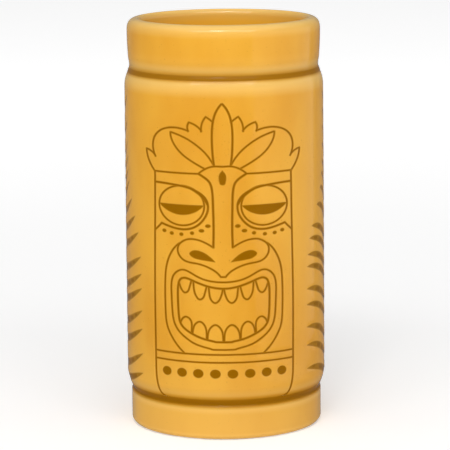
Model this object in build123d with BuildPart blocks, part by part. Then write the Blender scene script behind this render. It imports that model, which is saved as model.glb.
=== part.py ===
"""A glazed stoneware tiki mug: a slip-cast clay body, its coats of honey glaze and the dark glaze artwork laid in them.

Millimetres, +Z up. The origin is on the mug's axis, in the plane that the foot stands on. The face looks along -Y.
Half of the face is drawn, at x > 0, and mirrored. Artwork on the front is sunk along Y and the side fronds along X,
the ways in which the mould's parts draw off.
"""

import os
from math import cos, exp, sin

from build123d import *

# The mug's main sizes
HEIGHT = 155.0
BODY_R = 37.85  # the barrel at its fullest
NECK_R = 37.58  # the barrel under its upper shoulder
COLLAR_R = 36.45
FOOT_R = 36.35
WALL = 5.0  # clay and both coats of glaze together
FLOOR = 6.5

# Glaze
COAT = 0.75  # thickness of each coat of honey glaze
INK_DEPTH = 0.45  # the dark glaze lies this deep in the coat
INK_DIP = 0.1  # and its surface is this far below the coat's
LINE = 0.58  # width of a drawn line
SEAM_Z = 146.0  # inside the mouth, where the outside coat meets the liner
BARE_EDGE = 40.0  # degrees round the foot's edge at which the glaze is wiped off

# Heights on the outside
FOOT_TOP_Z = 12.9
BARREL_LOW_Z = 20.5
BARREL_HIGH_Z = 129.5
COLLAR_LOW_Z = 140.6
LIP_Z = 150.3
FOOT_POOL_Z = (13.0, 15.5)
COLLAR_POOL_Z = (134.7, 136.6)

# The lip, the cavity and the underside
CREST_R = 32.9  # the highest ring of the lip
MOUTH_R = 31.4
CAVITY_R = BODY_R - WALL
CAVITY_ROUND = 9.0
RECESS_R = 31.6
RECESS_DEPTH = 1.8
FOOT_ROUND = 1.2

# Artwork
ART_DEEP, ART_OUT = 15.0, 42.0  # the artwork's prisms span this far from the axis
CHIN_LINES_Z = (33.0, 30.0)
NECKLACE_Z = 25.7
NECKLACE_PITCH = 6.5  # along the surface
LEFT_TIPS_Z = (22.5, 30, 39.5, 46.5, 55, 60.5, 67, 76, 82, 88, 94.5, 99, 103.5, 109, 117, 127)
RIGHT_TIPS_Z = (24, 33, 40, 48.5, 54.5, 63, 67.5, 73.5, 78, 85.5, 91.5, 96.5, 101, 107.5, 114, 120.5, 127)
FROND_FOOT_Z = 17.5
FROND_TAPER_Z = 86.0  # around this height the leaflets grow short
LEAF_REACH = 21.6
LEAF_HALF = 1.45
STEM = 1.6


def outer_wall(inset):
    """The outside, up from the foot and over the lip to the seam in the mouth, moved in by inset."""
    foot = Line((FOOT_R - inset, 1.8), (FOOT_R - inset, FOOT_TOP_Z - 0.6))
    notch = Spline(foot @ 1, (35.8 - inset, 13.6), (36.1 - inset, 14.4), tangents=((0, 1), (0.6, 1)))
    low = Spline(
        notch @ 1, (37.06 - inset, 16.55), (BODY_R - inset, BARREL_LOW_Z), tangents=(notch % 1, (0, 1))
    )
    barrel = ThreePointArc(low @ 1, (37.8 - inset, 75), (NECK_R - inset, BARREL_HIGH_Z))
    high = Spline(barrel @ 1, (37.12 - inset, 132.8), (36.1 - inset, 135.6), tangents=(barrel % 1, (-0.4, 1)))
    groove = Spline(
        high @ 1, (35.72 - inset, 137), (36.1 - inset, COLLAR_LOW_Z), tangents=(high % 1, (0.06, 1))
    )
    collar = Spline(groove @ 1, (36.38 - inset, 146), (COLLAR_R - inset, LIP_Z), tangents=(groove % 1, (0, 1)))
    lip = Spline(
        collar @ 1,
        (35.56 - 0.7 * inset, 153.85 - 0.7 * inset),
        (CREST_R, HEIGHT - inset),
        tangents=((0, 1), (-1, 0)),
    )
    mouth = Spline(lip @ 1, (MOUTH_R + inset, 152.6), tangents=((-1, 0), (0, -1)))
    Line(mouth @ 1, (MOUTH_R + inset, SEAM_Z))


def cavity_wall(inset):
    """The inside, down from the seam in the mouth to the middle of the floor, moved into the clay by inset."""
    mouth = Line((MOUTH_R + inset, SEAM_Z), (MOUTH_R + inset, 141))
    flare = Spline(mouth @ 1, (CAVITY_R + inset, 128), tangents=((0, -1), (0, -1)))
    side = Line(flare @ 1, (CAVITY_R + inset, FLOOR + CAVITY_ROUND))
    low = Spline(side @ 1, (CAVITY_R - CAVITY_ROUND, FLOOR - inset), tangents=((0, -1), (-1, 0)))
    Line(low @ 1, (0, FLOOR - inset))


def foot_edge(start, size):
    """Part of the clay's rounded edge at the foot, from angle start, in degrees below the horizontal."""
    return CenterArc((FOOT_R - COAT - FOOT_ROUND, FOOT_ROUND), FOOT_ROUND, start, size)


def ring_section(near, far):
    """A sketch of the wall between two depths, from the foot to the seam, for pieces that follow the outside."""
    with BuildSketch(Plane.XZ) as section:
        with BuildLine():
            outer_wall(near)
            Line((MOUTH_R + near, SEAM_Z), (MOUTH_R + far, SEAM_Z))
            outer_wall(far)
            Line((FOOT_R - far, 1.8), (FOOT_R - near, 1.8))
        make_face()
    return section.sketch


# The clay, and the shells that the glaze pieces are cut from ---------------------------------------------------------

with BuildPart() as clay_body:
    with BuildSketch(Plane.XZ):
        with BuildLine():
            Polyline((0, FLOOR - COAT), (0, RECESS_DEPTH), (RECESS_R - 2, RECESS_DEPTH), (RECESS_R, 0))
            Line((RECESS_R, 0), (FOOT_R - COAT - FOOT_ROUND, 0))
            edge = foot_edge(-90, 90)
            Line(edge @ 1, (FOOT_R - COAT, 1.8))
            outer_wall(COAT)
            cavity_wall(COAT)
        make_face()
    revolve(axis=Axis.Z)

with BuildPart() as coat_shell:
    with BuildSketch(Plane.XZ):
        with BuildLine():
            edge = foot_edge(-BARE_EDGE, BARE_EDGE)
            Line(edge @ 1, (FOOT_R - COAT, 1.8))
            outer_wall(COAT)
            Line((MOUTH_R + COAT, SEAM_Z), (MOUTH_R, SEAM_Z))
            outer_wall(0)
            Spline((FOOT_R, 1.8), edge @ 0, tangents=((0, -1), (-1, -0.75)))
        make_face()
    revolve(axis=Axis.Z)

with BuildPart() as liner_glaze:
    with BuildSketch(Plane.XZ):
        with BuildLine():
            cavity_wall(0)
            Line((0, FLOOR), (0, FLOOR - COAT))
            cavity_wall(COAT)
            Line((MOUTH_R + COAT, SEAM_Z), (MOUTH_R, SEAM_Z))
        make_face()
    revolve(axis=Axis.Z)

with BuildPart() as ink_shell:
    add(ring_section(INK_DIP, INK_DEPTH))
    revolve(axis=Axis.Z)

with BuildPart() as groove_fill:
    add(ring_section(0, INK_DEPTH))
    revolve(axis=Axis.Z)

with BuildPart() as bed_shell:
    add(ring_section(-1, INK_DEPTH))
    revolve(axis=Axis.Z)

# Front artwork: each sketch holds what is drawn on one side and its mirror image -------------------------------------


def stroke(*points, width=LINE, start=None, finish=None):
    """A line of even width along a smooth curve through the points; start and finish are end directions."""
    with BuildLine(mode=Mode.PRIVATE) as path:
        if len(points) == 2:
            Line(*points)
        elif start and finish:
            Spline(*points, tangents=(start, finish))
        else:
            Spline(*points)
    trace(path.line, line_width=width)


def blot(*points):
    """A filled shape with its outline through the points, closed by a corner at the first one."""
    with BuildLine(mode=Mode.PRIVATE) as outline:
        Spline(*points, points[0])
    make_face(outline.edges())


def swelling(outer, inner):
    """Fills a line out where it swells, between two curves that share their ends."""
    with BuildLine(mode=Mode.PRIVATE) as outline:
        Spline(*outer)
        Spline(*inner)
    make_face(outline.edges())


def both_sides():
    mirror(about=Plane.YZ)


with BuildSketch(Plane.XZ) as centre_feather_lines:
    stroke((3.0, 103.4), (3.45, 107), (3.75, 112), (3.7, 117), (2.75, 122.3), (0, 126.7), width=0.7)
    both_sides()

with BuildSketch(Plane.XZ) as side_feather_lines:
    stroke((3.3, 104.2), (4.7, 106.5), (6.9, 109.1), (9.9, 111.6), (12.9, 113.5), (16.1, 114.9), (19.1, 115.8))
    stroke((6.2, 102.5), (8.85, 103.9), (11.75, 105.6), (14.8, 107.8), (17.3, 110.6), (18.7, 113.3), (19.1, 115.9))
    both_sides()

with BuildSketch(Plane.XZ) as crown_lines:
    stroke((3.1, 119.7), (4.4, 120.8), (6.0, 121.9))
    stroke((5.8, 122.0), (7.2, 119.8), (7.7, 116.2))
    stroke((7.5, 116.5), (8.6, 117.8), (9.8, 118.7), (12.3, 119.7))
    stroke((12.1, 119.8), (12.75, 118.3), (12.4, 116.2))
    stroke(
        (12.3, 116.4), (16.8, 117.5), (20.2, 117.25), (22.9, 116.1), (24.8, 114.1), (25.7, 111.5), (25.65, 108.7),
        (24.75, 106.1),
    )
    stroke((24.75, 106.2), (26.15, 107.8), (28.4, 108.7))
    stroke((28.25, 108.8), (28.0, 106.6), (27.1, 103.9), (25.0, 100.5))
    both_sides()

with BuildSketch(Plane.XZ) as forehead_lines:
    stroke((25.1, 100.75), (8.8, 100.75))
    stroke((9.0, 100.6), (6.5, 102.5), (2.95, 103.6), (0, 103.5), (-2.95, 103.6), (-6.5, 102.5), (-9.0, 100.6))
    stroke(
        (9.0, 100.9), (6.5, 99.3), (4.75, 97.6), (3.95, 95.2), (3.6, 90), (3.45, 84), (3.45, 78), (3.6, 73.3),
        width=0.75,
    )
    both_sides()

with BuildSketch(Plane.XZ) as forehead_drop:
    with BuildLine():
        side = Spline(
            (0, 102.1), (0.95, 100.9), (1.32, 99.3), (1.05, 97.6), (0, 96.7),
            tangents=((0.6, -1), (-1, -0.1)),
        )
        mirror(side, about=Plane.YZ)
    make_face()

with BuildSketch(Plane.XZ) as panel_lines:
    stroke((25.1, 101.0), (25.35, 80), (25.7, 50), (25.6, 28), (24.9, 19.5), (23.7, 16.7), (21.6, 15.3))
    with Locations((20, FOOT_POOL_Z[1] - 2)):
        Rectangle(20, 4, mode=Mode.SUBTRACT)
    both_sides()

with BuildSketch(Plane.XZ) as brow_lines:
    stroke(
        (25.2, 96.7), (20, 96.5), (16.5, 96.15), (13.65, 95.7), (10.4, 94.6), (7.7, 93.0), (5.85, 90.7),
        (5.4, 88.3), (5.95, 85.8), (7.5, 83.3), (9.6, 81.35), (11.95, 80.25), (15.6, 79.85), (18.45, 80.25),
        (20.85, 80.9), (22.9, 81.55),
        width=0.7,
    )
    stroke((22.7, 81.6), (23.7, 80.4), (25.5, 78.5))
    swelling(
        ((13.65, 95.7), (10.4, 94.65), (7.6, 93.0), (5.9, 90.7), (5.4, 88.3)),
        ((13.65, 95.7), (10.6, 94.1), (8.1, 92.2), (6.5, 90.2), (5.4, 88.3)),
    )
    both_sides()

with BuildSketch(Plane.XZ) as eye_rims:
    with Locations((15.2, 88.7)):
        Ellipse(8.4 + LINE / 2, 7.4 + LINE / 2)
        Ellipse(8.4 - LINE / 2, 7.4 - LINE / 2, mode=Mode.SUBTRACT)
    both_sides()

with BuildSketch(Plane.XZ) as eye_slits:
    with BuildLine():
        lower = ThreePointArc((6.95, 89.0), (15.35, 85.25), (23.6, 89.0))
        Line(lower @ 0, lower @ 1)
    make_face()
    both_sides()

with BuildSketch(Plane.XZ) as cheek_dots:
    with Locations((21.8, 78.8), (19.0, 78.1), (15.4, 77.95), (11.4, 78.6)):
        Ellipse(0.7, 0.6)
    with Locations((7.9, 79.6), (5.5, 81.4)):
        Ellipse(0.95, 0.6)
    both_sides()

with BuildSketch(Plane.XZ) as nose_lines:
    stroke(
        (3.45, 73.3), (6.0, 74.85), (8.5, 75.9), (10.8, 76.35), (13.1, 76.2), (15.0, 75.3), (16.4, 73.9),
        (16.85, 72.1), (16.25, 70.0), (14.6, 68.35), (12.7, 67.65), (10.2, 67.3), (7.5, 66.7), (4.8, 65.6),
        (2.7, 64.3), (0.85, 62.3),
    )
    stroke((1.0, 62.4), (-1.0, 62.4))
    both_sides()

with BuildSketch(Plane.XZ) as nostrils:
    blot(
        (2.9, 67.95), (4.8, 69.8), (7.1, 71.35), (9.4, 72.1), (11.5, 71.85), (12.4, 70.9), (11.3, 69.6),
        (9.0, 68.85), (6.0, 68.4),
    )
    both_sides()

with BuildSketch(Plane.XZ) as muzzle_lines:
    stroke(
        (16.05, 74.6), (17.9, 72.9), (19.4, 70.6), (20.6, 67.7), (21.35, 64.4), (21.7, 60), (21.8, 54.3),
        (21.7, 48.5), (21.5, 45.1), (20.95, 42.4), (19.7, 39.5), (17.9, 36.6), (14.4, 32.9),
    )
    both_sides()

with BuildSketch(Plane.XZ) as outer_lip_line:
    stroke(
        (0, 60.4), (3.9, 60.65), (7.3, 61.4), (10.4, 62.75), (12.9, 64.1), (15.1, 64.65), (17.2, 63.8),
        (18.65, 62.0), (19.3, 59.6), (19.4, 56), (19.25, 52), (19.0, 47.6), (18.4, 44.5), (16.9, 41.6),
        (13.85, 38.8), (9.6, 36.5), (4.8, 35.2), (0, 34.9),
        start=(1, 0), finish=(-1, 0),
    )
    both_sides()

with BuildSketch(Plane.XZ) as inner_lip_line:
    stroke(
        (0, 58.0), (2.8, 58.2), (5.8, 58.8), (8.6, 59.7), (11.1, 60.65), (13.0, 61.4), (14.5, 61.65),
        (15.9, 61.05), (16.65, 59.4), (16.95, 56.5), (16.95, 52.5), (16.7, 47.6), (15.95, 44.2), (14.2, 42.2),
        (11.15, 40.4), (7, 38.8), (3.5, 38.0), (0, 37.8),
        start=(1, 0), finish=(-1, 0), width=0.7,
    )
    both_sides()

# Neighbouring teeth are outlined apart, and their outlines run together at the gum
with BuildSketch(Plane.XZ) as upper_teeth:
    stroke(
        (0.25, 58.2), (0.45, 56.6), (0.93, 55.0), (1.85, 53.3), (3.1, 52.6), (4.25, 53.3), (5.1, 55.3),
        (5.55, 58.9),
    )
    stroke(
        (6.1, 59.1), (6.45, 57.8), (6.95, 55.9), (7.7, 54.3), (8.8, 53.8), (10.05, 54.9), (10.85, 57.2),
        (11.25, 60.8),
    )
    stroke(
        (11.8, 61.0), (12.1, 59.8), (12.6, 58.1), (13.3, 56.6), (14.35, 56.1), (15.4, 57.0), (16.1, 58.6),
        (16.55, 60.0),
    )
    both_sides()

with BuildSketch(Plane.XZ) as lower_teeth:
    stroke((0.25, 37.9), (0.28, 40.3), (1.1, 42.9), (3.1, 44.3), (4.85, 43.2), (5.8, 41.1), (6.0, 38.6))
    stroke((6.35, 38.8), (6.35, 41.1), (7.05, 44.0), (8.85, 45.4), (10.4, 44.6), (11.3, 42.8), (11.6, 40.7))
    stroke((11.95, 40.9), (11.85, 43.3), (12.45, 46.1), (14.05, 47.0), (15.25, 46.3), (15.95, 44.8))
    both_sides()

with BuildSketch(Plane.XZ) as chin_band:
    for z in CHIN_LINES_Z:
        stroke((-25.7, z), (25.7, z))

with BuildSketch(Plane.XZ) as necklace:
    for i in range(4):
        turn = (i + 0.5) * NECKLACE_PITCH / BODY_R
        with Locations((BODY_R * sin(turn), NECKLACE_Z)):
            Ellipse(1.95 * cos(turn), 1.65)
    both_sides()

# Side artwork, drawn on the plane through the axis that faces along X -------------------------------------------------


def leaflet(tip_z, reach, rise, curl_up):
    """A curved leaf from the stem to its tip, which is rise higher. It curls up at the tip, or levels off there."""

    def middle(u):
        return tip_z - rise * (1 - u**2 if curl_up else (1 - u) ** 2)

    def half_width(u):
        return LEAF_HALF * (1 - u) ** 0.6 * (1 + 0.8 * u)

    steps = (0, 0.3, 0.6, 0.85)
    tip = (-reach, tip_z)
    over = [(-u * reach, middle(u) + half_width(u)) for u in steps]
    under = [(-u * reach, middle(u) - half_width(u)) for u in steps]
    with BuildLine(mode=Mode.PRIVATE) as outline:
        Spline(*over, tip)
        Spline(*under, tip)
        Line(under[0], over[0])
    make_face(outline.edges())


def frond_sketch(tips, short_reach, rise, curl_up):
    """A frond: an upright stem with leaflets to the front, longer towards the foot, and the same to the back."""
    with BuildSketch(Plane.YZ) as sketch:
        for tip_z in tips:
            low_share = 1 / (1 + exp((tip_z - FROND_TAPER_Z) / 6))
            leaf_rise = min(rise, tip_z - FROND_FOOT_Z)
            leaflet(tip_z, short_reach + (LEAF_REACH - short_reach) * low_share, leaf_rise, curl_up)
        both_sides()
        with Locations((0, (FROND_FOOT_Z + tips[-1]) / 2)):
            Rectangle(STEM, tips[-1] - FROND_FOOT_Z)
    return sketch.sketch_local


left_frond_sketch = frond_sketch(LEFT_TIPS_Z, 9.8, 7.0, True)
right_frond_sketch = frond_sketch(RIGHT_TIPS_Z, 6.5, 10.0, False)

# Solid pieces of dark glaze -------------------------------------------------------------------------------------------

front_sketches = {
    "forehead_lines": forehead_lines,
    "panel_outline": panel_lines,
    "centre_feather": centre_feather_lines,
    "side_feathers": side_feather_lines,
    "crown_outline": crown_lines,
    "forehead_drop": forehead_drop,
    "brow_lines": brow_lines,
    "eye_rims": eye_rims,
    "eye_slits": eye_slits,
    "cheek_dots": cheek_dots,
    "nose_outline": nose_lines,
    "nostrils": nostrils,
    "chin_band": chin_band,
    "muzzle_outline": muzzle_lines,
    "outer_lip_line": outer_lip_line,
    "inner_lip_line": inner_lip_line,
    "upper_teeth": upper_teeth,
    "lower_teeth": lower_teeth,
    "necklace_dots": necklace,
}

pieces = {}
cutters = []
drawn = []


def lay_glaze(name, sketch, plane):
    """Sinks a sketch into the wall above a plane inside the mug, and keeps the prism that cuts the piece's bed."""
    with BuildPart() as prism:
        with BuildSketch(plane):
            add(sketch)
        extrude(amount=ART_OUT - ART_DEEP)
    with BuildPart() as piece:
        add(prism.part)
        add(ink_shell.part, mode=Mode.INTERSECT)
    pieces[name] = piece
    cutters.append(prism.part)


for name, sketch in front_sketches.items():
    with BuildSketch() as clear:
        add(sketch.sketch_local)
        # Where two drawn pieces cross, the one drawn first keeps the glaze
        for other in drawn:
            add(other, mode=Mode.SUBTRACT)
    drawn.append(sketch.sketch_local)
    lay_glaze(name, clear.sketch_local, Plane.XZ.offset(ART_DEEP))

lay_glaze("left_frond", left_frond_sketch, Plane.YZ.offset(-ART_OUT))
lay_glaze("right_frond", right_frond_sketch, Plane.YZ.offset(ART_DEEP))

for name, (low, high) in {"foot_groove_ring": FOOT_POOL_Z, "collar_groove_ring": COLLAR_POOL_Z}.items():
    with BuildPart() as slab:
        with BuildSketch(Plane.XY.offset(low)):
            Circle(ART_OUT)
            Circle(ART_DEEP, mode=Mode.SUBTRACT)
        extrude(amount=high - low)
    with BuildPart() as piece:
        add(slab.part)
        add(groove_fill.part, mode=Mode.INTERSECT)
    pieces[name] = piece
    cutters.append(slab.part)

# The outside coat, with a bed for each piece of dark glaze

with BuildPart() as beds:
    for cutter in cutters:
        add(cutter)
    add(bed_shell.part, mode=Mode.INTERSECT)

with BuildPart() as outer_glaze:
    add(coat_shell.part)
    add(beds.part, mode=Mode.SUBTRACT)

pieces["clay_body"] = clay_body
pieces["outer_glaze"] = outer_glaze
pieces["liner_glaze"] = liner_glaze

os.makedirs("parts", exist_ok=True)
for name, piece in pieces.items():
    piece.part.label = name
    export_step(piece.part, f"parts/{name}.step")
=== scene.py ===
"""The tiki mug's looks: smooth meshes of its clay, its coats of honey glaze and its dark glaze drawing.

Lengths in the helpers are millimetres, and meshes are made in metres. The mug's axis is Z and its face looks
along -Y. The wall is laid out flat as a chart: s is measured along the surface from the middle of the front,
and z upwards.
"""

import math

import bpy
import numpy as np
from mathutils import Matrix, Vector, geometry, kdtree


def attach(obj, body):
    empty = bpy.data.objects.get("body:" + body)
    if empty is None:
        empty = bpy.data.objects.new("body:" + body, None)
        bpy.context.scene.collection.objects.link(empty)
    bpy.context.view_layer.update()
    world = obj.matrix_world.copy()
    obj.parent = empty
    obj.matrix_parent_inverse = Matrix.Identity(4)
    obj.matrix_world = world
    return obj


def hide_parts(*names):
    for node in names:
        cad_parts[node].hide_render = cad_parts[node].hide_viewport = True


MM = 0.001

# Profile, as in the model
HEIGHT = 155.0
BODY_R = 37.85
NECK_R = 37.58
COLLAR_R = 36.45
FOOT_R = 36.35
GROOVE_R = 36.1  # where the sides of both grooves turn
CREST_R = 32.9
MOUTH_R = 31.4
CAVITY_R = 32.85
CAVITY_ROUND = 9.0
COAT = 0.75
FLOOR = 6.5
FOOT_EDGE_Z = 1.8  # the foot band's upright side starts here
FOOT_TOP_Z = 12.3
FOOT_GROOVE_Z = 14.4
BARREL_LOW_Z = 20.5
BARREL_HIGH_Z = 129.5
BARREL_SWELL = 0.34  # four times how far the middle of the barrel swells out
COLLAR_GROOVE_Z = 135.6
COLLAR_LOW_Z = 140.6
LIP_Z = 150.3
MOUTH_Z = 152.6
SEAM_Z = 146.0
FLARE_Z = (141.0, 128.0)  # the mouth widens into the cavity between these heights
FOOT_POOL_Z = (13.0, 15.5)
COLLAR_POOL_Z = (134.7, 136.6)

# The underside
RECESS_R = 31.6
RECESS_DEPTH = 1.8
RECESS_RUN = 2.0  # its side slopes over this much of the radius
FOOT_ROUND = 1.2
GLAZE_HEM = (35.62, 0.43)  # the glaze is wiped off below this place on the foot's rounded edge

# The drawn lines lie in shallow, soft-edged grooves
GROOVE_DEPTH = 0.07
GROOVE_SOFT = 0.22
INK_SINK = 0.03
INK_THICKNESS = 0.3
INK_BOTTOM = 0.27  # between the depths of a glaze line's top and its underside
FOOT_POOL_FILL = 0.1
COLLAR_POOL_FILL = 0.08

# The chart, and how finely it is cut
CHART_R = 37.8
CHART_LOW, CHART_HIGH = FOOT_POOL_Z[1], COLLAR_POOL_Z[0]
HALF_TURN = math.pi * CHART_R
TURN_STEPS = 192
SHOULDER_ROWS = 11
BARREL_ROWS = 61
RIM = 0.01  # points this close to the chart's sides lie on them
LOOP_STEP = 0.45  # the longest edge of a drawn outline
SHORTEST_EDGE = 0.004  # shorter ones are left out
CORNER_COSINE = 0.9  # a loop that turns more sharply than this at a point has a corner there
ALIKE = 3  # edges count as alike in length up to this ratio
RING_OFFSETS = (-0.2, 0.14, 0.34)  # rows of points beside each outline
RING_GAP = 0.1  # how far these points keep from every outline
GRID_GAP = 0.5  # and how far the even grid's points do
FARTHEST = 1.0  # distances from the outlines are measured up to here
CANDIDATES = 4  # outline edges that are tried for each distance

DRAWN = (
    "forehead_lines", "panel_outline", "centre_feather", "side_feathers", "crown_outline", "forehead_drop",
    "brow_lines", "eye_rims", "eye_slits", "cheek_dots", "nose_outline", "nostrils", "chin_band",
    "muzzle_outline", "outer_lip_line", "inner_lip_line", "upper_teeth", "lower_teeth", "necklace_dots",
    "left_frond", "right_frond",
)
FILLED = ("forehead_drop", "eye_slits", "cheek_dots", "nostrils", "necklace_dots")

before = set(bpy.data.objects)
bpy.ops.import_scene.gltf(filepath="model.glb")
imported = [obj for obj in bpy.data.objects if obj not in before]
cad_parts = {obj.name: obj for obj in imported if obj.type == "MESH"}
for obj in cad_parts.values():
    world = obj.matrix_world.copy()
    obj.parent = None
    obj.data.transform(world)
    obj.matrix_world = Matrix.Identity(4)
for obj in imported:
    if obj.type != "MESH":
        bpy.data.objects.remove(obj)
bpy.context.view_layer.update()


# Curves and the profile ------------------------------------------------------------------------------


def spline(points, first, last, steps=16):
    """A smooth cubic curve through the points, with the given directions at its ends."""
    p = np.array(points, float)
    chord = np.linalg.norm(np.diff(p, axis=0), axis=1)
    n = len(p)
    matrix = np.zeros((n, n))
    right = np.zeros_like(p)
    matrix[0, 0] = matrix[-1, -1] = 1
    right[0] = np.array(first, float) / np.linalg.norm(first)
    right[-1] = np.array(last, float) / np.linalg.norm(last)
    for i in range(1, n - 1):
        a, b = chord[i - 1], chord[i]
        matrix[i, i - 1 : i + 2] = b, 2 * (a + b), a
        right[i] = 3 * (b * (p[i] - p[i - 1]) / a + a * (p[i + 1] - p[i]) / b)
    slopes = np.linalg.solve(matrix, right)
    out = []
    for i in range(n - 1):
        t = np.linspace(0, 1, steps, endpoint=i == n - 2)[:, None]
        h = chord[i]
        out.append(
            (2 * t**3 - 3 * t**2 + 1) * p[i]
            + (t**3 - 2 * t**2 + t) * h * slopes[i]
            + (3 * t**2 - 2 * t**3) * p[i + 1]
            + (t**3 - t**2) * h * slopes[i + 1]
        )
    return np.vstack(out)


def straight(a, b, steps=6):
    return np.linspace(a, b, steps)


def outer_wall(inset=0.0):
    """Rows of (r, z) up the outside from the foot band's start, and over the lip to the seam in the mouth."""
    i = inset
    up = np.linspace(0, 1, 60)
    swell = BARREL_SWELL * up * (1 - up)
    barrel_r = BODY_R + (NECK_R - BODY_R) * up + swell - i
    barrel_z = BARREL_LOW_Z + (BARREL_HIGH_Z - BARREL_LOW_Z) * up
    parts = [
        straight((FOOT_R - i, FOOT_EDGE_Z), (FOOT_R - i, FOOT_TOP_Z)),
        spline([(FOOT_R - i, FOOT_TOP_Z), (35.8 - i, 13.6), (GROOVE_R - i, FOOT_GROOVE_Z)], (0, 1), (0.6, 1)),
        spline(
            [(GROOVE_R - i, FOOT_GROOVE_Z), (37.06 - i, 16.55), (BODY_R - i, BARREL_LOW_Z)],
            (0.6, 1), (0, 1),
        ),
        np.stack([barrel_r, barrel_z], 1),
        spline(
            [(NECK_R - i, BARREL_HIGH_Z), (37.12 - i, 132.8), (GROOVE_R - i, COLLAR_GROOVE_Z)],
            (-0.004, 1), (-0.4, 1),
        ),
        spline(
            [(GROOVE_R - i, COLLAR_GROOVE_Z), (35.72 - i, 137), (GROOVE_R - i, COLLAR_LOW_Z)],
            (-0.4, 1), (0.06, 1),
        ),
        spline([(GROOVE_R - i, COLLAR_LOW_Z), (36.38 - i, 146), (COLLAR_R - i, LIP_Z)], (0.06, 1), (0, 1)),
        spline(
            [(COLLAR_R - i, LIP_Z), (35.56 - 0.7 * i, 153.85 - 0.7 * i), (CREST_R, HEIGHT - i)],
            (0, 1), (-1, 0), 24,
        ),
        spline([(CREST_R, HEIGHT - i), (MOUTH_R + i, MOUTH_Z)], (-1, 0), (0, -1), 24),
        straight((MOUTH_R + i, MOUTH_Z), (MOUTH_R + i, SEAM_Z)),
    ]
    rows = np.vstack(parts)
    keep = np.r_[True, np.linalg.norm(np.diff(rows, axis=0), axis=1) > 1e-6]
    return rows[keep]


def cavity_wall(inset=0.0):
    """Rows of (r, z) down the inside, from the seam in the mouth to the middle of the floor."""
    mouth, side = MOUTH_R + inset, CAVITY_R + inset
    floor = FLOOR - inset
    side_low = FLOOR + CAVITY_ROUND
    floor_r = CAVITY_R - CAVITY_ROUND
    return np.vstack([
        straight((mouth, SEAM_Z), (mouth, FLARE_Z[0]), 4),
        spline([(mouth, FLARE_Z[0]), (side, FLARE_Z[1])], (0, -1), (0, -1), 24)[1:],
        straight((side, FLARE_Z[1]), (side, side_low), 24)[1:],
        spline([(side, side_low), (floor_r, floor)], (0, -1), (-1, 0), 24)[1:],
        straight((floor_r, floor), (0, floor), 16)[1:],
    ])


WALL = outer_wall()
RISE = WALL[: np.argmax(WALL[:, 1])]
SLOPE = np.gradient(RISE[:, 0], RISE[:, 1])


def radius(z):
    return np.interp(z, RISE[:, 1], RISE[:, 0])


def slope(z):
    return np.interp(z, RISE[:, 1], SLOPE)


# Meshes ----------------------------------------------------------------------------------------------


def new_object(name, verts, faces, normals, edge=None):
    """A smooth object. Edge is how far each vertex is from the nearest drawn outline, for its material."""
    mesh = bpy.data.meshes.new(name)
    mesh.from_pydata((np.asarray(verts) * MM).tolist(), [], [tuple(f) for f in faces])
    mesh.update()
    mesh.polygons.foreach_set("use_smooth", [True] * len(mesh.polygons))
    if edge is not None:
        values = np.asarray(edge, np.float32)
        mesh.attributes.new("edge", "FLOAT", "POINT").data.foreach_set("value", values)
    mesh.normals_split_custom_set_from_vertices([tuple(n) for n in normals])
    obj = bpy.data.objects.new(name, mesh)
    bpy.context.scene.collection.objects.link(obj)
    return obj


def lathe_arrays(rows):
    """Points, normals and quads of a profile of (r, z) rows turned about the axis.

    The normals stand on the right of the profile's travel, with r to the right and z up.
    """
    rows = np.asarray(rows, float)
    along = np.gradient(rows, axis=0)
    along /= np.maximum(np.linalg.norm(along, axis=1), 1e-9)[:, None]
    turn = np.linspace(-math.pi, math.pi, TURN_STEPS, endpoint=False)
    sin, cos = np.sin(turn), np.cos(turn)
    r, z = rows[:, :1], rows[:, 1:]
    points = np.stack([r * sin, -r * cos, np.repeat(z, TURN_STEPS, 1)], -1).reshape(-1, 3)
    nr, nz = along[:, 1:], -along[:, :1]
    normals = np.stack([nr * sin, -nr * cos, np.repeat(nz, TURN_STEPS, 1)], -1).reshape(-1, 3)
    faces = []
    for i in range(len(rows) - 1):
        here, there = i * TURN_STEPS, (i + 1) * TURN_STEPS
        for k in range(TURN_STEPS):
            m = (k + 1) % TURN_STEPS
            faces.append((here + k, here + m, there + m, there + k))
    return points, normals, faces


def lathe(name, rows):
    points, normals, faces = lathe_arrays(rows)
    return new_object(name, points, faces, normals)


def open_edges(faces):
    """The faces' directed edges that no other face runs back along."""
    edges = {}
    for face in faces:
        for a, b in zip(face, face[1:] + face[:1]):
            if (b, a) in edges:
                del edges[(b, a)]
            else:
                edges[(a, b)] = True
    return list(edges)


# The drawing, read from the CAD pieces ---------------------------------------------------------------


def chart(points):
    """(s, z) of points on the wall."""
    return np.stack([np.arctan2(points[:, 0], -points[:, 1]) * CHART_R, points[:, 2]], 1)


def mesh_points(mesh):
    co = np.zeros(len(mesh.vertices) * 3)
    mesh.vertices.foreach_get("co", co)
    return co.reshape(-1, 3) / MM


def place_numbers(points):
    """A number for each point, the same one for points in the same place."""
    numbers = {}
    return [numbers.setdefault(tuple(x), len(numbers)) for x in np.round(points, 4)]


def joined_groups(polygons, count):
    """For each vertex, the one that stands for all the vertices that polygons join to it."""
    group = list(range(count))

    def root(i):
        while group[i] != i:
            group[i] = group[group[i]]
            i = group[i]
        return i

    for polygon in polygons:
        for v in polygon[1:]:
            group[root(v)] = root(polygon[0])
    return [root(v) for v in range(count)]


def chained(edges):
    """Directed edges put end to end: lists of the vertices that each chain passes."""
    after = {}
    for a, b in edges:
        after.setdefault(a, []).append(b)
    chains = []
    while after:
        here, chain = next(iter(after)), []
        while here in after:
            chain.append(here)
            following = after[here].pop()
            if not after[here]:
                del after[here]
            here = following
        chains.append(chain)
    return chains


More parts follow.
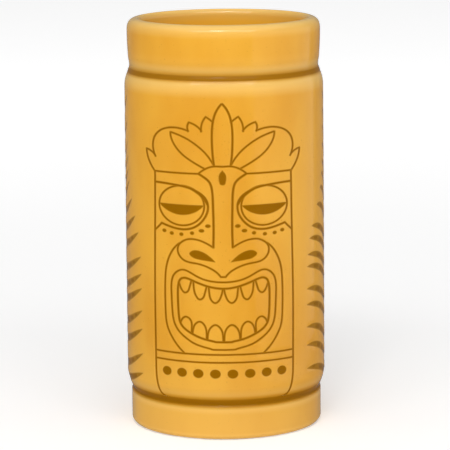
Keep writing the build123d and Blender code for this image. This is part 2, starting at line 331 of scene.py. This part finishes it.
def top_loops(node):
    """The outlines, as closed (s, z) loops, of the faces of a glaze piece that show on the wall.

    Parts of its surface that share no vertex are separate CAD faces: a face shows if no part of it lies deep.
    """
    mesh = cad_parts[node].data
    points = mesh_points(mesh)
    inset = radius(points[:, 2]) - np.hypot(points[:, 0], points[:, 1])
    place = place_numbers(points)
    spots = np.zeros((max(place) + 1, 2))
    spots[place] = chart(points)
    polygons = [tuple(p.vertices) for p in mesh.polygons]
    group = joined_groups(polygons, len(points))
    deepest = {}
    for g, depth in zip(group, inset):
        deepest[g] = max(deepest.get(g, -math.inf), depth)
    shown = [[place[v] for v in p] for p in polygons if deepest[group[p[0]]] < INK_BOTTOM]
    return [spots[loop] for loop in chained(open_edges(shown)) if len(loop) > 2]


def resample(loop):
    """Splits a loop's edges into short parts, eased onto a curve wherever its points turn gently."""
    spots = loop[np.linalg.norm(np.roll(loop, -1, 0) - loop, axis=1) > SHORTEST_EDGE]
    edges = np.roll(spots, -1, 0) - spots
    lengths = np.linalg.norm(edges, axis=1)
    ahead = edges / lengths[:, None]
    behind, before = np.roll(ahead, 1, 0), np.roll(lengths, 1)
    corner = (ahead * behind).sum(1) < CORNER_COSINE
    # The curve's way through a point is a circle's between edges alike in length, else it leans to the longer
    alike = np.maximum(lengths, before) < ALIKE * np.minimum(lengths, before)
    share = np.where(alike, before, lengths) / (lengths + before)
    way = ahead * share[:, None] + behind * (1 - share)[:, None]
    way /= np.linalg.norm(way, axis=1)[:, None]
    out = []
    for i, start in enumerate(spots):
        j = (i + 1) % len(spots)
        leave = 2 * ahead[i] - way[j] if corner[i] else way[i]
        arrive = 2 * ahead[i] - way[i] if corner[j] else way[j]
        if corner[i] and corner[j]:
            leave = arrive = ahead[i]
        n = max(1, math.ceil(lengths[i] / LOOP_STEP))
        for u in np.arange(n) / n:
            bow = u * (1 - u) ** 2 * (leave - ahead[i]) - u ** 2 * (1 - u) * (arrive - ahead[i])
            out.append(start + u * edges[i] + lengths[i] * bow)
    return np.array(out)


# The wall, cut along the drawing ---------------------------------------------------------------------


def flat_tree(spots):
    """A tree that finds the nearest of the chart's spots."""
    tree = kdtree.KDTree(len(spots))
    for i, (s, z) in enumerate(spots):
        tree.insert((s, z, 0), i)
    tree.balance()
    return tree


def clockwise(loop):
    return np.dot(loop[:, 0], np.roll(loop[:, 1], -1)) < np.dot(loop[:, 1], np.roll(loop[:, 0], -1))


def side_rings(loop):
    """The loop moved a little to either side, where the groove's soft edge bends."""
    ahead = np.roll(loop, -1, 0) - np.roll(loop, 1, 0)
    ahead /= np.maximum(np.linalg.norm(ahead, axis=1), 1e-9)[:, None]
    side = np.stack([ahead[:, 1], -ahead[:, 0]], 1)
    return [loop + side * offset for offset in RING_OFFSETS]


def grid_points():
    """An even grid on the chart, finer up its two shoulders, as the rest of the wall's shape."""
    s = np.linspace(-HALF_TURN, HALF_TURN, TURN_STEPS + 1)
    low = CHART_LOW + (BARREL_LOW_Z - CHART_LOW) * np.linspace(0, 1, SHOULDER_ROWS)
    middle = np.linspace(BARREL_LOW_Z, BARREL_HIGH_Z, BARREL_ROWS)[1:-1]
    high = BARREL_HIGH_Z + (CHART_HIGH - BARREL_HIGH_Z) * np.linspace(0, 1, SHOULDER_ROWS)
    z = np.r_[low, middle, high]
    return np.stack(np.meshgrid(s, z), -1).reshape(-1, 2)


def filler_points(lines, rings):
    """The points beside the outlines and on the grid that stand clear of the lines."""
    near = flat_tree(lines)

    def clear_of_lines(p, gap):
        return near.find((p[0], p[1], 0))[2] > gap

    out = []
    for p in np.vstack(rings):
        inside = abs(p[0]) < HALF_TURN and CHART_LOW + RING_GAP < p[1] < CHART_HIGH - RING_GAP
        if inside and clear_of_lines(p, RING_GAP):
            out.append(p.tolist())
    for p in grid_points():
        on_rim = abs(p[0]) > HALF_TURN - RIM or p[1] < CHART_LOW + RIM or p[1] > CHART_HIGH - RIM
        if on_rim or clear_of_lines(p, GRID_GAP):
            out.append(p.tolist())
    return out


def piece_inside(outlines, owner):
    """The piece with an odd number of its outlines among those round a triangle, or an empty name."""
    inside = {}
    for i in outlines:
        inside[owner[i]] = not inside.get(owner[i], False)
    return next((name for name, odd in inside.items() if odd), "")


def cut_chart():
    """The chart's vertices, its triangles, the name of the drawn piece that each is in, and the outlines."""
    points, outlines, owner, loops, rings = [], [], [], [], []
    for node in DRAWN:
        for loop in top_loops(node):
            loop = resample(loop)
            if len(loop) < 3:
                continue
            order = range(len(points), len(points) + len(loop))
            points.extend(loop.tolist())
            outlines.append(list(reversed(order) if clockwise(loop) else order))
            owner.append(node)
            rings += side_rings(loop)
            loops.append(loop)
    points += filler_points(points, rings)
    flat = [Vector(p) for p in points]
    verts, _, tris, _, _, made_of = geometry.delaunay_2d_cdt(flat, [], outlines, 0, 1e-5)
    label = [piece_inside(ids, owner) for ids in made_of]
    return np.array([tuple(v) for v in verts]), [tuple(t) for t in tris], label, loops


def line_distance(spots, loops):
    """How far each spot is from the nearest outline, and the way from the outline to it."""
    starts = np.vstack(loops)
    ends = np.vstack([np.roll(loop, -1, 0) for loop in loops])
    tree = flat_tree((starts + ends) / 2)
    gap = np.zeros(len(spots))
    away = np.zeros((len(spots), 2))
    for k, p in enumerate(spots):
        best = FARTHEST
        for _, i, d in tree.find_n((p[0], p[1], 0), CANDIDATES):
            if d > best + LOOP_STEP:
                break
            a, b = starts[i], ends[i]
            t = min(max(np.dot(p - a, b - a) / max(np.dot(b - a, b - a), 1e-12), 0), 1)
            v = p - (a + (b - a) * t)
            d = math.hypot(v[0], v[1])
            if d < best:
                best = d
                away[k] = v / d if d > 1e-6 else 0
        gap[k] = best
    return gap, away


def on_wall(spots, gap, away, ink):
    """Points and normals on the wall, sunk softly along the outlines, and all through a glaze line."""
    soft = np.exp(-((gap / GROOVE_SOFT) ** 2))
    if ink:
        sink = GROOVE_DEPTH + INK_SINK * (1 - soft)
        rate = INK_SINK * 2 * gap / GROOVE_SOFT**2 * soft
    else:
        sink = GROOVE_DEPTH * soft
        rate = -GROOVE_DEPTH * 2 * gap / GROOVE_SOFT**2 * soft
    z = spots[:, 1]
    turn = spots[:, 0] / CHART_R
    lean = slope(z)
    size = np.sqrt(1 + lean**2)
    radial, up = 1 / size, -lean / size
    sin, cos = np.sin(turn), np.cos(turn)
    out = np.stack([radial * sin, -radial * cos, up], 1)
    base = np.stack([radius(z) * sin, -radius(z) * cos, z], 1)
    across = np.stack([cos, sin, np.zeros_like(z)], 1)
    climb = np.stack([-up * sin, up * cos, radial], 1)
    tilt = rate[:, None] * (away[:, :1] * across + away[:, 1:] * climb)
    normal = out + tilt
    return base - sink[:, None] * out, normal / np.linalg.norm(normal, axis=1)[:, None]


def thicken(points, normals, faces, depth):
    """Closes a sheet into a solid: a copy of it deeper in the wall, and walls between the two rims."""
    count = len(points)
    rim = open_edges(faces)
    under = points - depth * normals
    flip = [(a + count, c + count, b + count) for a, b, c in faces]
    ring = sorted({v for e in rim for v in e})
    spot = {v: i for i, v in enumerate(ring)}
    n = 2 * count
    walls = []
    facing = np.zeros((2 * len(ring), 3))
    for a, b in rim:
        i, j = spot[a], spot[b]
        walls.append((n + j, n + i, n + len(ring) + i, n + len(ring) + j))
        way = np.cross(points[b] - points[a], normals[a])
        for v in (i, j, len(ring) + i, len(ring) + j):
            facing[v] += way
    facing /= np.maximum(np.linalg.norm(facing, axis=1), 1e-9)[:, None]
    points = np.vstack([points, under, points[ring], under[ring]])
    normals = np.vstack([normals, -normals, facing])
    return points, normals, list(faces) + flip + walls


# Pieces ----------------------------------------------------------------------------------------------


def sheet_of(tris, label, name):
    """The triangles of one piece, with its own numbering of their corners."""
    own = [t for t, n in zip(tris, label) if n == name]
    used = sorted({v for t in own for v in t})
    place = {v: i for i, v in enumerate(used)}
    return used, [tuple(place[v] for v in t) for t in own]


def make_wall_pieces():
    """The drawn pieces by name, and the sheet of honey glaze that is left of the barrel between them."""
    spots, tris, label, loops = cut_chart()
    gap, away = line_distance(spots, loops)
    made = {}
    for name in DRAWN:
        used, faces = sheet_of(tris, label, name)
        points, normals = on_wall(spots[used], gap[used], away[used], True)
        points, normals, solid = thicken(points, normals, faces, INK_THICKNESS)
        edge = np.zeros(len(points))
        edge[: len(used)] = gap[used]
        made[name] = new_object(name + "_glaze", points, solid, normals, edge)
    used, faces = sheet_of(tris, label, "")
    points, normals = on_wall(spots[used], gap[used], away[used], False)
    return made, (points, normals, faces, gap[used])


def make_coat(barrel):
    """The outside coat: the drawn wall, and the foot band and the collar and lip turned about the axis."""
    points, normals, faces, edge = barrel
    hem = spline([GLAZE_HEM, (FOOT_R, FOOT_EDGE_Z)], (0.75, 1), (0, 1), 10)
    foot_rows = np.vstack([hem[:-1], WALL])
    foot_rows = foot_rows[foot_rows[:, 1] < FOOT_POOL_Z[0]]
    foot_rows = np.vstack([foot_rows, (radius(FOOT_POOL_Z[0]), FOOT_POOL_Z[0])])
    first = np.argmax(WALL[:, 1] > COLLAR_POOL_Z[1])
    collar_rows = np.vstack([(radius(COLLAR_POOL_Z[1]), COLLAR_POOL_Z[1]), WALL[first:]])
    all_points, all_normals, all_faces, all_edge = [points], [normals], list(faces), [edge]
    for rows in (foot_rows, collar_rows):
        p, n, f = lathe_arrays(rows)
        base = sum(len(x) for x in all_points)
        all_points.append(p)
        all_normals.append(n)
        all_faces += [tuple(v + base for v in q) for q in f]
        all_edge.append(np.full(len(p), FARTHEST))
    return new_object(
        "honey_glaze_coat", np.vstack(all_points), all_faces, np.vstack(all_normals), np.concatenate(all_edge)
    )


def ring_rows(low, high, fill):
    """A pooled ring's section: the groove's own shape with its bottom filled a little."""
    steps = 25
    z = np.linspace(low, high, steps)
    filled = fill * np.sin(np.linspace(0, math.pi, steps)) ** 2
    return np.stack([radius(z) + filled, z], 1)


def clay_rows():
    """The clay's whole section: from the axis under the foot, round the outside, to the middle of the floor.

    Rows stand close by on both sides of the recess's corners, which keeps the flats between them flat.
    """
    arc = np.radians(np.linspace(-90, 0, 9))
    centre = FOOT_R - COAT - FOOT_ROUND
    return np.vstack([
        straight((0, RECESS_DEPTH), (RECESS_R - RECESS_RUN - 0.2, RECESS_DEPTH), 12),
        straight((RECESS_R - RECESS_RUN, RECESS_DEPTH - 0.08), (RECESS_R - 0.15, 0.1), 6),
        straight((RECESS_R, 0), (centre - 0.1, 0), 5),
        np.stack([centre + FOOT_ROUND * np.cos(arc), FOOT_ROUND + FOOT_ROUND * np.sin(arc)], 1),
        outer_wall(COAT),
        cavity_wall(COAT)[1:],
    ])


drawn_pieces, barrel_sheet = make_wall_pieces()
coat = make_coat(barrel_sheet)
liner = lathe("liner_glaze_coat", cavity_wall())
clay = lathe("clay_wall_and_foot", clay_rows())
foot_ring = lathe("foot_groove_pool", ring_rows(*FOOT_POOL_Z, FOOT_POOL_FILL))
collar_ring = lathe("collar_groove_pool", ring_rows(*COLLAR_POOL_Z, COLLAR_POOL_FILL))


# Materials -------------------------------------------------------------------------------------------

HALO_REACH = 0.34  # the glaze is tinted this far round a drawn line
MOUTH_PAINTED_LIGHT_R = (0.0322, 0.034)  # painted light, a brighter tone inside the mouth, in metres: strongest inside the first radius, none outside the second
GLAZE_ROUGHNESS = (0.09, 0.16)
GLAZE_IOR = 1.5
HONEY_GLOSS = 0.35
POOL_GLOSS = 0.04
LINE_GLOSS = 0.05

# Heights, and how far the honey glaze has pooled there
POOL_STOPS = (
    (0.3, 0.3), (1.6, 0.0), (11.9, 0.0), (12.95, 0.75), (13.3, 1.0), (15.2, 1.0), (15.6, 0.7), (16.6, 0.22),
    (20.0, 0.0), (131.5, 0.0), (134.3, 0.12), (134.75, 0.9), (136.4, 0.9), (137.0, 0.45), (139.0, 0.12),
    (142.0, 0.0),
)
LINER_POOL_STOPS = ((6.4, 0.4), (8.5, 0.25), (14.0, 0.0))

# Heights, and how pale the glaze is there: thin over every raised edge, with a painted highlight on these
# edges, most on the shoulder and the lip
THIN_GLAZE_AND_HIGHLIGHT_STOPS = (
    (0.3, 0.6), (1.4, 0.5), (2.6, 0.3), (9.6, 0.26), (11.6, 0.55), (12.7, 0.0), (16.2, 0.0), (17.2, 0.35),
    (19.5, 0.14), (36.0, 0.0), (128.5, 0.0), (132.0, 0.55), (133.6, 0.8), (134.4, 0.2), (137.0, 0.2),
    (138.2, 0.55), (140.5, 0.1), (144.0, 0.0), (150.0, 0.0), (153.0, 0.5), (154.6, 0.9),
)
# Inside the lip: thinner glaze towards the crest, with a painted highlight
LINER_THIN_GLAZE_AND_HIGHLIGHT_STOPS = ((145.0, 0.0), (151.0, 0.4), (154.6, 0.9))


def tone(red, green, blue):
    """A colour given as 0 to 255 on screen, as the shader's linear light."""

    def linear(v):
        v /= 255
        return v / 12.92 if v <= 0.04045 else ((v + 0.055) / 1.055) ** 2.4

    return (linear(red), linear(green), linear(blue), 1.0)


class Nodes:
    """A material's node tree, with short ways to add what the glazes need."""

    def __init__(self, name):
        self.material = bpy.data.materials.new(name)
        self.material.use_nodes = True
        self.tree = self.material.node_tree
        self.surface = self.tree.nodes["Principled BSDF"]
        self.place = self.tree.nodes.new("ShaderNodeTexCoord").outputs["Object"]

    def add(self, kind, inputs=(), **settings):
        node = self.tree.nodes.new(kind)
        for key, value in settings.items():
            setattr(node, key, value)
        for key, value in dict(inputs).items():
            self.put(node.inputs[key], value)
        return node

    def put(self, socket, value):
        if isinstance(value, bpy.types.NodeSocket):
            self.tree.links.new(value, socket)
        else:
            socket.default_value = value

    def noise(self, scale, detail=2.0, stretch=(1, 1, 1), rough=0.5):
        """Noise with features about 1/scale metres across, wider along an axis whose stretch is below 1."""
        mapping = self.add("ShaderNodeMapping", {"Vector": self.place, "Scale": stretch})
        inputs = {"Vector": mapping.outputs[0], "Scale": scale, "Detail": detail, "Roughness": rough}
        return self.add("ShaderNodeTexNoise", inputs).outputs["Fac"]

    def remap(self, value, low, high, to_low=0.0, to_high=1.0):
        inputs = {"Value": value, "From Min": low, "From Max": high, "To Min": to_low, "To Max": to_high}
        return self.add("ShaderNodeMapRange", inputs, interpolation_type="SMOOTHSTEP").outputs[0]

    def mix(self, share, a, b):
        inputs = {0: share, 6: a, 7: b}
        return self.add("ShaderNodeMix", inputs, data_type="RGBA").outputs[2]

    def math(self, how, a, b):
        return self.add("ShaderNodeMath", {0: a, 1: b}, operation=how).outputs[0]

    def edge(self):
        """The distance from the nearest drawn outline, in millimetres."""
        return self.add("ShaderNodeAttribute", attribute_name="edge").outputs["Fac"]

    def length(self, vector):
        return self.add("ShaderNodeVectorMath", {0: vector}, operation="LENGTH").outputs["Value"]

    def height_ramp(self, stops):
        """A value that follows height in the mug's millimetres through the stops."""
        height = self.add("ShaderNodeSeparateXYZ", {0: self.place}).outputs["Z"]
        share = self.math("MULTIPLY", height, 1 / (HEIGHT * MM))
        ramp = self.add("ShaderNodeValToRGB", {0: share})
        ramp.color_ramp.elements.remove(ramp.color_ramp.elements[1])
        for i, (z, value) in enumerate(stops):
            element = ramp.color_ramp.elements[0] if i == 0 else ramp.color_ramp.elements.new(z / HEIGHT)
            element.position = z / HEIGHT
            element.color = (value, value, value, 1)
        return ramp.outputs["Color"]

    def bump(self, layers):
        """Stacks bumps, each given as its height, strength and distance in metres."""
        normal = None
        for height, strength, distance in layers:
            inputs = {"Height": height, "Strength": strength, "Distance": distance}
            if normal is not None:
                inputs["Normal"] = normal
            normal = self.add("ShaderNodeBump", inputs).outputs[0]
        self.put(self.surface.inputs["Normal"], normal)


def glaze_finish(n, gloss):
    """A fired glaze's smooth gloss, with its faint waves and orange peel."""
    n.put(n.surface.inputs["Roughness"], n.remap(n.noise(90, 3), 0.3, 0.7, *GLAZE_ROUGHNESS))
    n.put(n.surface.inputs["IOR"], GLAZE_IOR)
    n.put(n.surface.inputs["Specular IOR Level"], gloss)
    waves, peel = n.noise(55, 1), n.noise(900, 2)
    n.bump(((waves, 0.35, 0.0003), (peel, 0.06, 0.00004)))


def honey_glaze(name, thin, thick, pooled, line_edge, pale_edge_and_highlight, inside, thin_and_highlight_stops, pool_stops):
    """Cloudy, freckled glaze, tinted round drawn lines, brightened in the mouth as painted light, and pooled
    or paler by its height, paler being thin glaze with a painted highlight.
    """
    n = Nodes(name)
    cloud = n.remap(n.noise(38, 3, (1, 1, 0.45)), 0.35, 0.7)
    colour = n.mix(cloud, thin, thick)
    freckle = n.remap(n.noise(1500, 1), 0.7, 0.8, 0.0, 0.35)
    colour = n.mix(freckle, colour, pooled)
    colour = n.mix(n.remap(n.edge(), 0.0, HALO_REACH, 0.6, 0.0), colour, line_edge)
    # Brighter inside the mouth: painted light that stands in for light on the inner wall
    across = n.add("ShaderNodeVectorMath", {0: n.place, 1: (1, 1, 0)}, operation="MULTIPLY").outputs["Vector"]
    colour = n.mix(n.remap(n.length(across), *MOUTH_PAINTED_LIGHT_R, 0.8, 0.0), colour, inside)
    # Paler over raised edges: thin glaze there, with a painted highlight
    colour = n.mix(n.height_ramp(thin_and_highlight_stops), colour, pale_edge_and_highlight)
    pool = n.height_ramp(pool_stops)
    colour = n.mix(pool, colour, pooled)
    n.put(n.surface.inputs["Base Color"], colour)
    glaze_finish(n, n.remap(pool, 0.0, 0.8, HONEY_GLOSS, POOL_GLOSS))
    return n.material


def line_glaze(name, middle, rim, reach):
    """Dark glaze that thins, and so lightens, towards its outline."""
    n = Nodes(name)
    edge = n.edge()
    uneven = n.math("MULTIPLY", n.noise(420, 2), 0.5)
    share = n.remap(n.math("ADD", n.math("MULTIPLY", edge, 1 / reach), uneven), 0.15, 0.95)
    n.put(n.surface.inputs["Base Color"], n.mix(share, rim, middle))
    glaze_finish(n, LINE_GLOSS)
    return n.material


def bare_clay():
    n = Nodes("bare_stoneware")
    grain = n.noise(1800, 4, rough=0.7)
    colour = n.mix(n.remap(n.noise(120, 4), 0.3, 0.7), tone(226, 209, 182), tone(206, 184, 152))
    colour = n.mix(n.remap(grain, 0.62, 0.72, 0, 0.6), colour, tone(150, 120, 88))
    n.put(n.surface.inputs["Base Color"], colour)
    n.put(n.surface.inputs["Roughness"], n.remap(grain, 0.3, 0.7, 0.78, 0.95))
    n.bump(((grain, 0.5, 0.00008), (n.noise(300, 3), 0.3, 0.0002)))
    return n.material


# The pale edge tone is thin glaze with a painted highlight.
HONEY = honey_glaze(
    "honey_glaze",
    thin=tone(232, 169, 52), thick=tone(222, 155, 40), pooled=tone(150, 98, 4),
    line_edge=tone(160, 106, 12), pale_edge_and_highlight=tone(246, 203, 116), inside=tone(255, 192, 62),
    thin_and_highlight_stops=THIN_GLAZE_AND_HIGHLIGHT_STOPS, pool_stops=POOL_STOPS,
)
# The liner is the same honey glaze in brighter tones than outside: painted light for the inner wall. The
# inside tone in both materials is painted light in the mouth.
LINER = honey_glaze(
    "liner_glaze",
    thin=tone(252, 202, 78), thick=tone(247, 190, 62), pooled=tone(150, 96, 4),
    line_edge=tone(160, 106, 12), pale_edge_and_highlight=tone(252, 210, 120), inside=tone(255, 192, 62),
    thin_and_highlight_stops=LINER_THIN_GLAZE_AND_HIGHLIGHT_STOPS, pool_stops=LINER_POOL_STOPS,
)
LINES = line_glaze("drawn_line_glaze", middle=tone(145, 92, 2), rim=tone(170, 114, 14), reach=0.2)
FILLS = line_glaze("filled_shape_glaze", middle=tone(146, 94, 0), rim=tone(162, 108, 4), reach=0.35)
FRONDS = line_glaze("frond_glaze", middle=tone(146, 98, 8), rim=tone(174, 122, 26), reach=0.8)
CLAY = bare_clay()


def dress(obj, material, node):
    obj.data.materials.append(material)
    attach(obj, "root")
    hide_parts(node)


for name, obj in drawn_pieces.items():
    if name.endswith("frond"):
        dress(obj, FRONDS, name)
    elif name in FILLED:
        dress(obj, FILLS, name)
    else:
        dress(obj, LINES, name)
dress(coat, HONEY, "outer_glaze")
dress(liner, LINER, "liner_glaze")
dress(clay, CLAY, "clay_body")
dress(foot_ring, HONEY, "foot_groove_ring")
dress(collar_ring, HONEY, "collar_groove_ring")


# Floor, light and camera -----------------------------------------------------------------------------

# The floor, in metres
FLOOR_SIZE = 16
FLOOR_DROP = 0.0001  # keeps it clear of the foot
GLOW_REACH = (0.05, 1.1)  # how far from the mug its glow is at its least and at its most
FLOOR_GLOW = (0.3, 0.62)
SKY_STRENGTH = 0.25

# The camera, in millimetres: its distance along the ground, its height, and how it is turned
CAMERA_DISTANCE = 1001.95
CAMERA_HEIGHT = 249.5
CAMERA_LENS = 213.09
CAMERA_DOWN = math.radians(9.862)
CAMERA_ROUND = math.radians(1.2)
CAMERA_ROLL = math.radians(-0.5)


def floor_plane():
    """A pale floor that glows softly away from the mug, and that the glaze doesn't mirror."""
    bpy.ops.mesh.primitive_plane_add(size=FLOOR_SIZE, location=(0, 0, -FLOOR_DROP))
    plane = bpy.context.object
    plane.name = "floor"
    n = Nodes("pale_floor")
    n.put(n.surface.inputs["Base Color"], n.mix(n.noise(6, 2), (0.93, 0.93, 0.93, 1), (0.9, 0.9, 0.9, 1)))
    n.put(n.surface.inputs["Roughness"], 0.8)
    n.put(n.surface.inputs["Emission Color"], (1, 1, 1, 1))
    n.put(n.surface.inputs["Emission Strength"], n.remap(n.length(n.place), *GLOW_REACH, *FLOOR_GLOW))
    plane.data.materials.append(n.material)
    plane.visible_glossy = False


def soft_light(name, place, aim, size, power):
    data = bpy.data.lights.new(name, "AREA")
    data.shape = "RECTANGLE"
    data.size, data.size_y = size
    data.energy = power
    lamp = bpy.data.objects.new(name, data)
    lamp.location = place
    lamp.rotation_euler = (Vector(aim) - Vector(place)).to_track_quat("-Z", "Y").to_euler()
    bpy.context.scene.collection.objects.link(lamp)
    return lamp


def sky(strength):
    world = bpy.data.worlds.new("white_tent")
    world.use_nodes = True
    world.node_tree.nodes["Background"].inputs["Color"].default_value = (1, 1, 1, 1)
    world.node_tree.nodes["Background"].inputs["Strength"].default_value = strength
    bpy.context.scene.world = world


def place_camera():
    data = bpy.data.cameras.new("camera")
    data.lens = CAMERA_LENS
    data.sensor_width = 36
    data.clip_start = 0.05
    data.clip_end = 50
    camera = bpy.data.objects.new("camera", data)
    bpy.context.scene.collection.objects.link(camera)
    x = CAMERA_DISTANCE * math.sin(CAMERA_ROUND)
    y = -CAMERA_DISTANCE * math.cos(CAMERA_ROUND)
    turn = Matrix.Rotation(CAMERA_ROUND, 4, "Z") @ Matrix.Rotation(math.pi / 2 - CAMERA_DOWN, 4, "X")
    turn = turn @ Matrix.Rotation(CAMERA_ROLL, 4, "Z")
    camera.matrix_world = Matrix.Translation(Vector((x, y, CAMERA_HEIGHT)) * MM) @ turn
    bpy.context.scene.camera = camera


floor_plane()
sky(SKY_STRENGTH)
soft_light("top_softbox", place=(0.0, -0.4, 1.2), aim=(0, -0.1, 0), size=(3.2, 1.8), power=8)
soft_light("strip_softbox", place=(0.0, -1.3, 1.3), aim=(0, 0, 0.1), size=(2.4, 0.6), power=14)
soft_light("key_softbox", place=(-0.16, -1.3, 1.3), aim=(0, 0, 0.1), size=(0.4, 0.3), power=5)
card = soft_light("right_card", place=(0.49, -0.09, 0.1), aim=(0, 0, 0.08), size=(1.0, 0.4), power=0.7)
card.visible_diffuse = False
card.visible_camera = False
place_camera()
view = bpy.context.scene.view_settings
view.view_transform = "Standard"
view.look = "None"

for leftover in ("Cube", "Light", "Camera"):
    if leftover in bpy.data.objects:
        bpy.data.objects.remove(bpy.data.objects[leftover])
